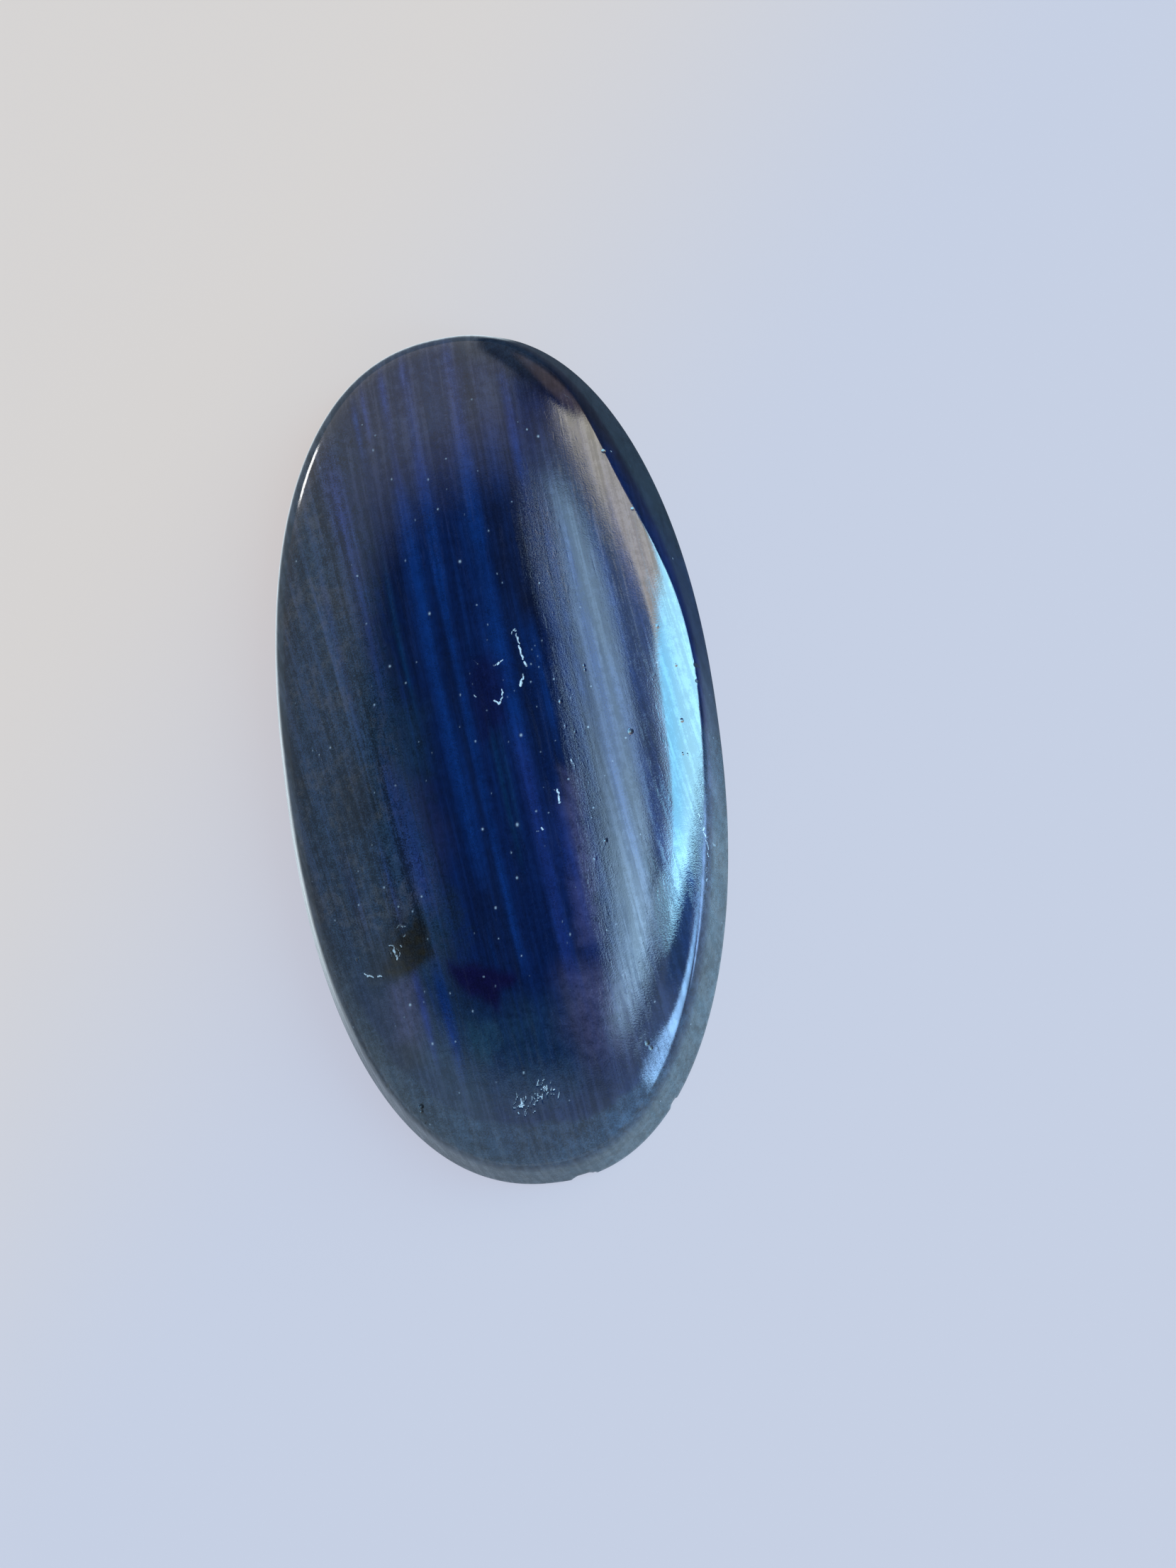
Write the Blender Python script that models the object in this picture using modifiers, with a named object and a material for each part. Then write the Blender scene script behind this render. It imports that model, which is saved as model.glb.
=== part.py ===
"""An oval cabochon of labradorite: one polished stone with a low dome, a rounded shoulder, a leaning
ground wall and a flat back. Its long axis is Y, the dome faces +Z and the back lies on Z = 0.
The origin is the middle of the back."""

import math

import bmesh
import bpy

MM = 0.001

# The cutter's outline
LENGTH = 50.0 * MM
WIDTH = 25.7 * MM
OUTLINE_POWER = 2.26
# The hand-ground oval is a little fuller at its foot than at its head, and a little square at its sides
FOOT_FULLNESS = 0.003
FOOT_WAVES = 3.0
SIDE_FULLNESS = 0.0026
SIDE_WAVES = 5.0

# Heights of the polished top
CROWN_HEIGHT = 6.5 * MM
DOME_EDGE_HEIGHT = 3.9 * MM
DOME_POWER = 2
SHOULDER_DROP = 1.67 * MM
SHOULDER_WIDTH = 2.6 * MM
SHOULDER_POWER = 2.5

# The ground wall under the shoulder
WALL_LEAN = math.radians(15.0)
RIDGE_BLEND = 0.6 * MM

# Where the hand ground less or more: the angle round the stone, how local the place is,
# the change of the wall's lean and the change of the shoulder's drop
HAND_CHANGES = (
    (math.radians(6.0), 20, math.radians(-6.5), -0.65 * MM),
    (math.radians(34.0), 30, math.radians(6.5), 0.0),
)

# The small bevel that takes the sharp edge off the back
BACK_BEVEL_WIDTH = 0.3 * MM
BACK_BEVEL_HEIGHT = 0.4 * MM

# The mesh: rings at fixed distances in from the outline, then even rings up to the crown
SIDES = 120
EDGE_RINGS = tuple(inset * MM for inset in (0.0, 0.22, 0.42, 0.56, 0.7, 0.86, 1.1, 1.45, 1.95, 2.6))
DOME_RINGS = 10
MERGE_DISTANCE = 0.00001 * MM
OUTWARD_STEP = math.radians(0.005)

# Chips knocked out of the back edge: the angle round the stone, the cutting ball's radius,
# and how deep it bites
EDGE_CHIPS = (
    ("foot_chip", -82.3, 1.5 * MM, 0.26 * MM),
    ("side_nick", -56.5, 0.6 * MM, 0.17 * MM),
    ("head_nick", 118.0, 0.7 * MM, 0.14 * MM),
)
CHIP_SEGMENTS = 24
CHIP_RINGS = 12
CHIP_TILT = (0.3, 0.2)

STONE_COLOUR = (0.012, 0.028, 0.085, 1.0)
STONE_ROUGHNESS = 0.12
STONE_IOR = 1.56
SHARP_ANGLE = math.radians(40.0)


def clear_scene():
    for item in list(bpy.data.objects):
        bpy.data.objects.remove(item, do_unlink=True)


def new_collection(name):
    collection = bpy.data.collections.new(name)
    bpy.context.scene.collection.children.link(collection)
    return collection


def polished_stone():
    material = bpy.data.materials.new("polished_labradorite")
    material.use_nodes = True
    shader = material.node_tree.nodes["Principled BSDF"]
    shader.inputs["Base Color"].default_value = STONE_COLOUR
    shader.inputs["Roughness"].default_value = STONE_ROUGHNESS
    shader.inputs["Metallic"].default_value = 0.0
    shader.inputs["IOR"].default_value = STONE_IOR
    material.diffuse_color = STONE_COLOUR
    return material


def outline(angle):
    """The point of the oval at an angle round it, a superellipse with two soft hand-ground swellings."""
    across = math.cos(angle)
    along = math.sin(angle)
    reach = (abs(across) ** OUTLINE_POWER + abs(along) ** OUTLINE_POWER) ** (-1.0 / OUTLINE_POWER)
    reach *= 1.0 + FOOT_FULLNESS * math.sin(FOOT_WAVES * angle) + SIDE_FULLNESS * math.cos(SIDE_WAVES * angle)
    return WIDTH / 2.0 * across * reach, LENGTH / 2.0 * along * reach


def outward(angle):
    """The outline's outward direction at an angle."""
    x0, y0 = outline(angle - OUTWARD_STEP)
    x1, y1 = outline(angle + OUTWARD_STEP)
    run = math.hypot(x1 - x0, y1 - y0)
    return (y1 - y0) / run, (x0 - x1) / run


def dome_height(x, y):
    """The wide dome alone, from the crown down to the height that it would have at the outline."""
    across = abs(x) / (WIDTH / 2.0)
    along = abs(y) / (LENGTH / 2.0)
    reach = (across ** OUTLINE_POWER + along ** OUTLINE_POWER) ** (1.0 / OUTLINE_POWER)
    return CROWN_HEIGHT - (CROWN_HEIGHT - DOME_EDGE_HEIGHT) * reach ** DOME_POWER


def hand_ground(angle):
    """The wall's lean from upright and the shoulder's drop at an angle round the stone."""
    lean = WALL_LEAN
    drop = SHOULDER_DROP
    for place, focus, lean_change, drop_change in HAND_CHANGES:
        share = max(0.0, math.cos(angle - place)) ** focus
        lean += lean_change * share
        drop += drop_change * share
    return lean, drop


def soft_minimum(first, second, blend):
    """The lower of two heights, with the ridge between them rounded."""
    share = min(1.0, max(0.0, 0.5 + 0.5 * (second - first) / blend))
    return second * (1.0 - share) + first * share - blend * share * (1.0 - share)


def top_height(x, y, inset, angle):
    """Dome, rounded shoulder and leaning wall in one surface."""
    lean, drop = hand_ground(angle)
    shoulder = drop * max(0.0, 1.0 - inset / SHOULDER_WIDTH) ** SHOULDER_POWER
    wall = BACK_BEVEL_HEIGHT + inset / math.tan(lean)
    return soft_minimum(dome_height(x, y) - shoulder, wall, RIDGE_BLEND)


def turned_blank(collection):
    """A round blank with the stone's rings, turned from half its section.
    Its radius says how far in a ring lies."""
    radius = WIDTH / 2.0
    edge_zone = EDGE_RINGS[-1]
    section = []
    for ring in range(DOME_RINGS):
        section.append(((radius - edge_zone) * ring / DOME_RINGS, CROWN_HEIGHT))
    for inset in reversed(EDGE_RINGS):
        section.append((radius - inset, BACK_BEVEL_HEIGHT + inset))
    section.append((radius - BACK_BEVEL_WIDTH, 0.0))
    mesh = bpy.data.meshes.new("blank_section")
    points = [(x, 0.0, z) for x, z in section]
    edges = [(index, index + 1) for index in range(len(points) - 1)]
    mesh.from_pydata(points, edges, [])
    blank = bpy.data.objects.new("blank", mesh)
    collection.objects.link(blank)
    turn = blank.modifiers.new("turn", "SCREW")
    turn.axis = "Z"
    turn.steps = SIDES
    turn.render_steps = SIDES
    turn.use_merge_vertices = True
    turn.merge_threshold = MERGE_DISTANCE
    return blank


def ground_mesh(blank):
    """The turned blank as a mesh, ground to the oval and closed with its flat back."""
    graph = bpy.context.evaluated_depsgraph_get()
    mesh = bpy.data.meshes.new_from_object(blank.evaluated_get(graph))
    radius = WIDTH / 2.0
    edge_zone = EDGE_RINGS[-1]
    form = bmesh.new()
    form.from_mesh(mesh)
    rims = [edge for edge in form.edges if edge.is_boundary]
    bmesh.ops.holes_fill(form, edges=rims, sides=0)
    for vertex in form.verts:
        angle = math.atan2(vertex.co.y, vertex.co.x)
        spread = math.hypot(vertex.co.x, vertex.co.y)
        inset = radius - spread
        on_back = vertex.co.z < BACK_BEVEL_HEIGHT / 2.0
        x, y = outline(angle)
        nx, ny = outward(angle)
        reach = min(inset, edge_zone)
        shrink = min(1.0, spread / (radius - edge_zone))
        x = (x - nx * reach) * shrink
        y = (y - ny * reach) * shrink
        z = 0.0 if on_back else top_height(x, y, inset, angle)
        vertex.co = (x, y, z)
    bmesh.ops.recalc_face_normals(form, faces=form.faces)
    form.to_mesh(mesh)
    form.free()
    return mesh


def centre_over_origin(mesh):
    """The fuller foot shifts the oval's middle a little, so the finished mesh is set square over the origin.
    Returns where the middle was."""
    xs = [vertex.co.x for vertex in mesh.vertices]
    ys = [vertex.co.y for vertex in mesh.vertices]
    middle_x = (max(xs) + min(xs)) / 2.0
    middle_y = (max(ys) + min(ys)) / 2.0
    for vertex in mesh.vertices:
        vertex.co.x -= middle_x
        vertex.co.y -= middle_y
    return middle_x, middle_y


def chip_cutter(name, degrees, radius, bite, middle, collection):
    """A ball that bites into the back edge from outside."""
    angle = math.radians(degrees)
    x, y = outline(angle)
    nx, ny = outward(angle)
    out = radius - bite
    bpy.ops.mesh.primitive_uv_sphere_add(
        segments=CHIP_SEGMENTS,
        ring_count=CHIP_RINGS,
        radius=radius,
        location=(x + nx * out - middle[0], y + ny * out - middle[1], BACK_BEVEL_HEIGHT / 2.0),
        rotation=(*CHIP_TILT, angle),
    )
    cutter = bpy.context.active_object
    cutter.name = name
    for home in list(cutter.users_collection):
        home.objects.unlink(cutter)
    collection.objects.link(cutter)
    cutter.hide_render = True
    cutter.display_type = "WIRE"
    return cutter


def build_stone():
    stone_collection = new_collection("labradorite_stone")
    cutter_collection = new_collection("cutters")
    blank = turned_blank(cutter_collection)
    mesh = ground_mesh(blank)
    bpy.data.objects.remove(blank, do_unlink=True)
    mesh.name = "labradorite_stone"
    middle = centre_over_origin(mesh)
    mesh.shade_smooth()
    mesh.set_sharp_from_angle(angle=SHARP_ANGLE)
    mesh.materials.clear()
    mesh.materials.append(polished_stone())
    stone = bpy.data.objects.new("labradorite_stone", mesh)
    stone_collection.objects.link(stone)
    for name, degrees, radius, bite in EDGE_CHIPS:
        cut = stone.modifiers.new(name, "BOOLEAN")
        cut.operation = "DIFFERENCE"
        cut.solver = "EXACT"
        cut.object = chip_cutter(name, degrees, radius, bite, middle, cutter_collection)
    return stone


clear_scene()
build_stone()
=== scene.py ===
"""A polished labradorite cabochon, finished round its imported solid, on a plain pale table.

The file is laid out as an add-on and is run as a script. Lengths in the settings are metres,
like the solid's; the flaw lists and the stone's pattern are written in millimetres on its face,
+Y along the stone and +X across it, measured from the middle of its back.
"""

import math
import random

import bmesh
import bpy
import numpy as np
from bpy.props import FloatProperty, FloatVectorProperty, PointerProperty
from mathutils import Matrix, Vector


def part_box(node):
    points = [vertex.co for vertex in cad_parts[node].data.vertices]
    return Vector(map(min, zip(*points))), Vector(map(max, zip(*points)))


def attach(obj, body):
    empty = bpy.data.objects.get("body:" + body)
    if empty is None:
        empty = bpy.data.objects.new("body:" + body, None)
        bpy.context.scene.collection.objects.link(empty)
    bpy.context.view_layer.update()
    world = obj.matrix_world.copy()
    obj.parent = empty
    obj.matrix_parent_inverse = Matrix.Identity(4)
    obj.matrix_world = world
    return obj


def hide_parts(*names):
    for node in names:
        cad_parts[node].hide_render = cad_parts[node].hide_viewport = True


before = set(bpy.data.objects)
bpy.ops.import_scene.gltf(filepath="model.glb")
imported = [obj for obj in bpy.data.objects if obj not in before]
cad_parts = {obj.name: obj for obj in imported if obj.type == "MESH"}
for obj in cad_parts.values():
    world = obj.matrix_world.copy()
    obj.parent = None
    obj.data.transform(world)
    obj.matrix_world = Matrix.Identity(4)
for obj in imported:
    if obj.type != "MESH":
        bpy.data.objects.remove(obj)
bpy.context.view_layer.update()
SOLID_NODE = "labradorite_stone"
SOLID_LOW, SOLID_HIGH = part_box(SOLID_NODE)

MM = 0.001
HALF_WIDTH = 12.85 * MM
HALF_LENGTH = 25.0 * MM
# The stone's parallel layers cross the face on these courses: their lean, bend, twist, spread and fan
LAMELLA_COURSE = (0.078, -0.00057, -0.0028, 0.0001, 0.00088)

# Bands of flash: hue (0 blue, 1 violet, 2 teal), layer, half width, top end, bottom end, strength
FLASH_BANDS = (
    (0, -3.25, 0.1, 20.9, 17.6, 1.0), (0, -3.25, 0.16, 18.0, 12.0, 0.25),
    (1, -2.75, 0.09, 21.6, 18.8, 0.7), (1, -1.69, 0.14, 22.6, 19.6, 0.65),
    (1, -1.69, 0.2, 20.0, 13.5, 0.35), (0, -1.69, 0.32, 14.6, -0.8, 1.0),
    (0, -1.6, 0.42, 0.0, -7.6, 0.9), (1, -0.6, 0.12, 23.0, 21.2, 0.5),
    (1, -0.42, 0.22, 22.5, 14.5, 0.4), (0, -0.42, 0.26, 16.6, 8.0, 0.9),
    (0, -0.42, 0.2, 9.0, -0.5, 0.8), (0, -0.45, 0.18, 0.5, -13.0, 0.75),
    (1, 2.17, 0.26, 24.2, 17.0, 0.4), (0, 2.17, 0.36, 18.6, 12.0, 0.75),
    (0, 2.17, 0.52, 13.5, 4.0, 0.65), (0, 2.17, 0.34, 5.5, -1.5, 0.85),
    (1, 2.17, 0.3, -0.5, -14.0, 0.5), (1, 5.32, 0.22, 22.0, 16.0, 0.4),
    (0, 5.32, 0.2, 17.2, 14.6, 0.9), (0, 3.9, 0.36, 18.6, 8.5, 0.4),
    (1, -4.89, 0.4, 18.0, 12.6, 0.5), (1, -4.89, 0.3, 13.5, 2.8, 0.3),
    (1, -6.7, 0.2, 10.0, 0.5, 0.2), (2, -3.26, 0.1, 10.6, 2.0, 0.5),
    (0, 0.55, 0.12, 9.6, 4.6, 0.35), (0, 4.15, 0.24, 5.8, -0.5, 0.6),
    (0, 3.59, 0.15, 9.0, 3.0, 0.4), (2, 0.75, 0.1, 0.4, -7.2, 0.45),
    (2, 1.15, 0.08, -0.6, -5.4, 0.4), (0, 0.35, 0.08, 0.0, -4.5, 0.3),
    (1, -5.75, 0.4, -0.8, -8.0, 0.35), (1, -7.26, 0.2, -5.8, -9.8, 0.3),
    (1, -5.14, 0.14, -5.3, -8.8, 0.3), (0, -5.1, 0.3, -2.0, -9.6, 0.4),
    (0, -9.86, 0.28, -5.6, -9.8, 0.3), (1, -7.31, 0.2, -12.6, -16.9, 0.85),
    (0, -5.76, 0.3, -12.5, -17.8, 0.95), (0, -6.55, 0.12, -12.8, -16.5, 0.3),
    (0, -1.96, 0.08, -11.0, -14.8, 0.55), (1, 3.45, 0.45, -4.6, -12.4, 0.4),
    (0, 7.3, 0.26, 11.0, -2.0, 0.85), (0, 9.12, 0.3, 11.0, 0.5, 0.6),
    (1, 10.5, 0.2, 13.0, 2.0, 0.3), (0, 6.85, 0.24, -0.5, -9.5, 0.7),
    (0, 6.2, 0.2, 12.0, 0.0, 0.6), (0, 8.2, 0.24, 3.0, -10.0, 0.6),
    (0, 5.6, 0.16, 8.0, -4.0, 0.4), (0, 9.1, 0.14, -3.0, -11.0, 0.5),
)

# Patches: hue (0 milk, partly a painted reflection of the table, 1 brown, 2 purple, 3 indigo, 4 shadow, which is
# painted shade, 5 pale), edge softness, strength, outline
PATCHES = (
    (0, 0.35, 1.0, (
        (-13.5, -9.0), (-10.6, -9.6), (-10.24, -10.83), (-9.95, -11.77), (-9.25, -13.33), (-8.73, -14.93),
        (-8.04, -16.04), (-7.49, -17.33), (-6.68, -17.92), (-6.05, -18.6), (-5.55, -19.5),
        (-4.92, -20.3), (-4.2, -20.8), (-3.5, -21.1), (-2.2, -21.4), (-0.6, -21.8), (1.2, -22.0),
        (3.0, -21.9), (4.8, -21.2), (6.2, -20.2), (9.0, -19.0), (13.5, -19.0), (13.5, -27.0), (-13.5, -27.0),
    )),
    (0, 2.6, 0.35, (
        (-2.8, 16.8), (4.2, 19.2), (6.0, 21.5), (3.0, 26.0), (-6.0, 26.0), (-9.5, 19.0), (-6.0, 16.0),
    )),
    (0, 0.7, 0.35, ((-0.9, -18.7), (2.2, -18.4), (3.0, -20.0), (1.6, -21.2), (-1.2, -21.3), (-1.7, -20.0))),
    # Painted reflection of the table on the lower right wall, laid as milk
    (0, 0.8, 0.85, (
        (12.1, -1.0), (11.3, -8.0), (10.4, -12.5), (9.3, -16.0), (7.9, -19.0), (6.4, -20.6), (9.0, -24.0),
        (16.0, -20.0), (16.0, -2.0),
    )),
    (1, 0.8, 0.9, (
        (-5.46, -10.05), (-4.63, -9.5), (-4.44, -10.71), (-4.56, -11.5), (-4.18, -11.9), (-5.05, -12.3),
        (-5.83, -12.65), (-6.63, -12.85), (-7.33, -12.56), (-7.6, -12.15), (-7.0, -11.3), (-6.7, -10.65),
    )),
    (1, 0.3, 0.7, (
        (-4.5, -10.7), (-4.2, -11.9), (-5.83, -12.65), (-6.7, -12.8), (-6.6, -12.4), (-5.2, -11.7),
    )),
    (1, 1.2, 0.45, ((-4.4, -9.4), (-4.2, -12.0), (-8.2, -12.9), (-8.0, -10.6), (-6.3, -9.4))),
    (2, 1.8, 0.12, ((-3.2, -2.2), (-2.4, -5.0), (-3.2, -8.2), (-5.0, -8.6), (-5.4, -5.0), (-4.6, -2.0))),
    (1, 1.6, 0.35, ((-6.2, -1.0), (-6.0, -3.6), (-8.4, -4.6), (-9.0, -1.6), (-7.6, -0.2))),
    (1, 1.0, 0.4, ((-6.2, -16.0), (-5.7, -17.6), (-6.8, -18.0), (-7.5, -16.6))),
    (2, 1.4, 0.6, ((-7.0, -12.9), (-5.6, -12.7), (-5.3, -14.8), (-5.9, -16.6), (-7.2, -16.4), (-7.3, -14.4))),
    (2, 3.2, 0.85, ((3.0, -14.2), (5.4, -13.6), (6.2, -16.0), (5.4, -18.4), (3.6, -19.0), (2.8, -17.0))),
    (2, 1.1, 0.8, ((4.3, -2.6), (5.2, -3.0), (5.4, -8.0), (5.2, -12.4), (3.9, -12.6), (4.2, -8.0))),
    (2, 2.0, 0.25, ((-5.2, -6.0), (-3.4, -6.0), (-3.6, -9.0), (-5.4, -9.2))),
    (2, 2.0, 0.18, ((-6.6, -13.6), (-6.6, -19.0), (-8.2, -16.0), (-8.2, -13.6))),
    (3, 0.7, 1.0, (
        (-3.46, -12.4), (-2.17, -12.6), (-1.2, -13.2), (0.1, -13.5), (0.2, -14.0), (-0.8, -14.6),
        (-1.05, -15.4), (-1.6, -14.9), (-2.45, -14.4), (-3.3, -13.55),
    )),
    (3, 1.2, 0.5, ((1.2, 4.4), (2.0, 3.6), (1.8, 0.6), (0.2, -0.6), (-0.2, 1.6), (0.2, 4.0))),
    # Painted shade: these shadow patches darken the head's right side and a smaller place in the middle
    (4, 1.6, 0.95, (
        (5.2, 24.5), (7.2, 18.6), (9.0, 15.5), (11.0, 11.8), (11.9, 9.6), (16.0, 9.6), (16.0, 27.0), (5.0, 27.0),
    )),
    (4, 1.6, 0.9, (
        (0.9, 24.6), (1.3, 22.4), (3.0, 22.0), (7.0, 18.6), (9.0, 22.0), (6.0, 26.0), (1.0, 26.0),
    )),
    (4, 1.8, 0.5, ((2.0, 13.2), (3.6, 13.6), (4.0, 10.0), (4.2, 6.0), (3.0, 6.4), (2.4, 9.0))),
    (5, 1.4, 0.9, ((-2.99, -15.6), (-1.45, -15.8), (-1.0, -17.0), (-1.8, -18.6), (-3.3, -17.9))),
    (5, 3.0, 0.4, ((-4.8, -15.0), (3.4, -15.2), (4.0, -18.6), (2.0, -20.6), (-3.6, -20.2), (-5.6, -17.6))),
    (5, 2.0, 0.4, ((-4.6, 2.2), (-2.9, 2.0), (-3.2, -1.5), (-4.4, -1.8))),
)

# Cracks and flakes: the path, half width and whiteness
CRACKS = (
    ((
        (2.79, 5.65), (2.85, 5.12), (2.92, 4.65), (2.96, 4.18), (3.04, 3.83), (3.13, 3.4), (3.2, 3.29),
    ), 0.048, 1.0),
    (((2.54, 5.4), (2.7, 5.6), (2.82, 5.5)), 0.05, 0.8),
    (((2.92, 2.99), (2.85, 2.71), (2.74, 2.51), (2.73, 2.22)), 0.065, 0.95),
    (((1.11, 3.83), (1.45, 3.74), (1.74, 3.91), (2.04, 3.98)), 0.05, 1.0),
    (((0.15, 4.26), (0.5, 3.89), (0.64, 3.68)), 0.04, 0.45),
    (((0.0, 2.18), (0.25, 1.99)), 0.04, 0.6),
    (((1.02, 1.8), (1.38, 1.48), (1.52, 1.72), (1.68, 2.1), (1.65, 2.32)), 0.045, 1.0),
    (((3.96, -3.78), (4.0, -4.11), (4.02, -4.4)), 0.055, 0.95),
    (((3.75, -3.74), (3.85, -3.86)), 0.04, 0.7),
    (((3.94, -4.52), (4.01, -4.5)), 0.05, 0.8),
    (((3.35, -3.3), (3.2, -3.55), (3.35, -3.75)), 0.03, 0.35),
    (((2.49, -5.91), (2.63, -5.91)), 0.05, 0.8),
    (((2.84, -5.79), (2.84, -5.9)), 0.05, 0.8),
    (((4.91, -2.22), (5.01, -2.46), (5.09, -2.75)), 0.04, 0.6),
    (((-6.77, -10.86), (-6.53, -10.96), (-6.58, -11.22), (-6.45, -11.53), (-6.4, -11.73)), 0.055, 1.0),
    (((-6.9, -11.05), (-6.72, -11.3), (-6.75, -11.55)), 0.032, 0.8),
    (((-6.4, -11.1), (-6.22, -11.35), (-6.28, -11.6)), 0.03, 0.7),
    (((-6.21, -10.89), (-6.05, -11.07)), 0.05, 0.8),
    (((-6.19, -9.96), (-5.95, -9.9), (-5.71, -10.05)), 0.045, 0.6),
    (((-5.91, -10.52), (-5.77, -10.47)), 0.06, 0.65),
    (((-7.05, -12.22), (-6.77, -12.21)), 0.05, 0.5),
    (((-8.5, -12.19), (-8.32, -12.33), (-7.96, -12.45), (-7.49, -12.51)), 0.04, 0.95),
    (((-8.7, -9.75), (-8.58, -9.9), (-8.5, -10.1)), 0.04, 0.5),
    (((-9.9, 1.3), (-9.55, 0.6), (-9.4, 0.0)), 0.035, 0.5),
    (((6.2, -6.9), (5.97, -7.4), (5.45, -7.9), (5.36, -8.6)), 0.03, 0.25),
    (((7.05, 19.3), (7.22, 19.15), (7.4, 18.95)), 0.05, 0.5),
    (((11.3, -5.9), (11.45, -6.5)), 0.035, 0.75),
    (((11.5, -6.7), (11.5, -7.6)), 0.04, 0.7),
    (((11.6, -7.3), (11.5, -8.4)), 0.03, 0.6),
    (((11.85, -7.6), (11.85, -7.8)), 0.05, 0.8),
    (((11.3, -9.0), (11.2, -9.9)), 0.035, 0.55),
    (((11.75, -4.2), (11.7, -5.2)), 0.03, 0.5),
)
# A web of fine cracks near the foot: its middle, half size, turn in degrees and how many
CRACK_WEB = (0.1, -20.45, 1.25, 0.5, 22.0, 56)
WEB_TURNS = (35.0, 60.0, -20.0, 100.0)
WEB_SWAY = 18.0
WEB_LENGTHS = (0.08, 0.4)
WEB_HALF_WIDTHS = (0.012, 0.024)
WEB_WHITENESS = (0.45, 1.0)
# The longer cracks are laid in short strokes, which stray and vary and are sometimes left out
STROKE_LENGTH = 0.13
STROKE_STRAY = 0.045
STROKES_LEFT_OUT = 0.12
STROKE_WIDTHS = (0.45, 1.15)
STROKE_WHITENESS = (0.55, 1.0)
CRACK_DEPTH = 0.016

# Specks: the places for each radius
SPECKS_BY_RADIUS = {
    0.04: ((1.77, 2.82), (2.31, 2.11), (-0.06, 3.5), (0.02, 2.85)),
    0.05: (
        (-0.16, 14.5), (0.7, 12.8), (4.33, 17.9), (1.74, 15.3), (-5.84, 3.8), (3.29, -12.3), (3.2, -11.1),
        (2.83, -6.83), (-10.97, -6.45), (3.78, 4.52), (3.86, 3.89), (3.58, 4.32), (1.89, 1.82),
        (4.77, 2.89), (3.44, 1.03), (-1.01, 0.57), (1.62, -0.73), (3.32, -1.55), (0.28, -3.44),
        (-3.33, -2.14), (-2.79, -0.63), (-3.47, 0.13), (4.21, -1.02), (-1.78, -11.02), (-7.1, -15.36),
    ),
    0.06: (
        (-2.17, 13.0), (-5.98, 10.4), (2.4, 8.43), (2.17, 9.0), (-3.03, 4.68), (1.29, 6.13), (5.38, 1.27),
        (-9.9, 0.9), (-6.45, -2.24), (-7.0, -5.14), (3.3, -5.01), (-0.46, -11.51), (7.17, -2.59),
        (5.6, -5.61), (-8.03, -6.45), (-5.1, -13.75), (-1.03, -14.07), (7.0, -14.07), (6.03, -14.47),
        (3.84, 3.26), (4.2, 4.75), (-4.48, -10.9), (6.09, -11.64), (-6.6, -11.2),
    ),
    0.07: (
        (1.97, 11.6), (-3.0, 10.7), (-5.72, 7.48), (-0.75, 2.37), (6.56, 1.77), (0.93, -6.9),
        (0.67, -12.64), (-9.84, -8.92), (-3.65, -14.07), (7.55, -16.14), (3.43, 3.49), (3.29, 2.48),
    ),
    0.08: (
        (-4.24, 17.73), (-3.31, 15.73), (-1.17, 15.29), (-0.79, 13.4), (4.79, 17.36), (-3.8, 3.61),
        (-0.23, -0.4), (4.47, 8.09), (2.63, -4.82), (-5.13, -9.24), (3.52, -11.86), (5.79, -5.07),
        (-2.52, -15.24), (4.58, 2.46),
    ),
    0.09: ((-5.81, 2.72), (6.1, -0.51), (-8.78, 0.83), (-6.61, -7.63), (-4.49, -8.51), (-0.2, -18.99)),
    0.1: ((5.38, 16.84), (-0.49, -5.36), (-0.38, -9.8), (1.05, -8.34), (-5.09, -16.66)),
    0.11: ((-1.95, 7.34), (-4.62, 4.74)),
    0.12: ((0.14, 10.07), (2.36, -0.45), (-6.05, -14.34)),
    0.13: (
        (1.48, -5.41),
    ),
}
SPECKS = tuple((x, y, radius) for radius, places in SPECKS_BY_RADIUS.items() for x, y in places)

# Pits: place, radius and depth
PITS = (
    (-6.32, -19.95, 0.16, 0.16), (-6.35, -20.2, 0.12, 0.1), (-6.28, -20.85, 0.08, 0.05),
    (-8.23, -18.47, 0.14, 0.05), (-8.87, -11.33, 0.08, 0.05), (-8.66, -11.29, 0.08, 0.04),
    (-7.21, -8.17, 0.07, 0.03), (8.38, -1.05, 0.15, 0.06), (6.8, -18.3, 0.14, 0.06), (6.95, -18.6, 0.12, 0.05),
    (4.78, 1.13, 0.09, 0.03), (4.87, -0.29, 0.07, 0.02), (5.38, -0.67, 0.08, 0.02), (6.33, 3.0, 0.06, 0.02),
    (6.35, 2.75, 0.06, 0.02), (6.2, -6.95, 0.1, 0.03), (5.5, -7.9, 0.1, 0.02), (11.3, 2.5, 0.09, 0.02),
    (11.2, -0.7, 0.12, 0.03), (11.0, -2.6, 0.08, 0.02), (11.25, -2.65, 0.07, 0.02), (10.6, 4.8, 0.07, 0.02),
    (12.35, 2.5, 0.14, 0.05), (12.3, 1.55, 0.12, 0.04), (12.05, -4.65, 0.1, 0.03), (8.9, 15.5, 0.12, 0.04),
    (10.1, 11.85, 0.1, 0.03),
)
# Where the polish is scuffed along the layers: the middle, half sizes, turn in degrees and strength
SCUFFS = (
    (4.9, 9.5, 1.0, 4.5, 6.0, 1.0),
    (5.3, -1.0, 0.7, 6.0, 3.0, 0.7),
    (5.4, -8.5, 0.8, 4.0, 0.0, 0.5),
    (9.1, -11.0, 0.7, 2.2, -18.0, 0.5),
    (7.2, -19.0, 0.8, 1.3, -30.0, 1.0),
    (11.6, -7.0, 0.7, 5.0, -10.0, 0.8),
)
# Chips in the back's edge: the degrees round the stone, and the radius and the bite of a ball
EDGE_CHIPS = ((-82.3, 1.5, 0.26), (-56.5, 0.6, 0.17), (118.0, 0.7, 0.14))
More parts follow.
